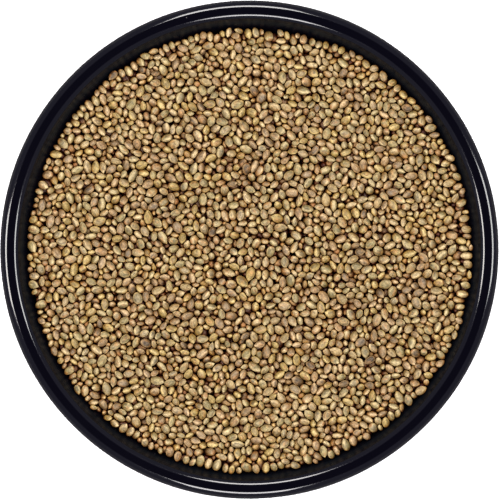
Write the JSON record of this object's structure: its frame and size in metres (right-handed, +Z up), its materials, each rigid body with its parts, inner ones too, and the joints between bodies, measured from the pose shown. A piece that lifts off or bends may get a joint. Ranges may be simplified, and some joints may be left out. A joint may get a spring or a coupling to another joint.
{
  "type": "dish of hemp seeds",
  "caption": "Round glossy black dish with a thick rolled rim and a foot ring, filled almost to the rim with whole hemp seeds.",
  "frame": {"origin": "middle of the dish's foot ring, on the surface that the dish stands on", "axes": "+Z up through the middle of the dish, X and Y along the surface; the top edge of the picture is towards +Y"},
  "size_m": [0.215, 0.215, 0.038],
  "materials": {
    "glossy_black": "smooth, high-gloss black melamine with a faint violet tint",
    "hemp_husk": "smooth, slightly waxy seed husks, beige to olive, golden and brown, with fine darker mottling"
  },
  "bodies": {
    "root": {"dish": "glossy_black", "hemp_seeds": "hemp_husk"}
  },
  "joints": []
}
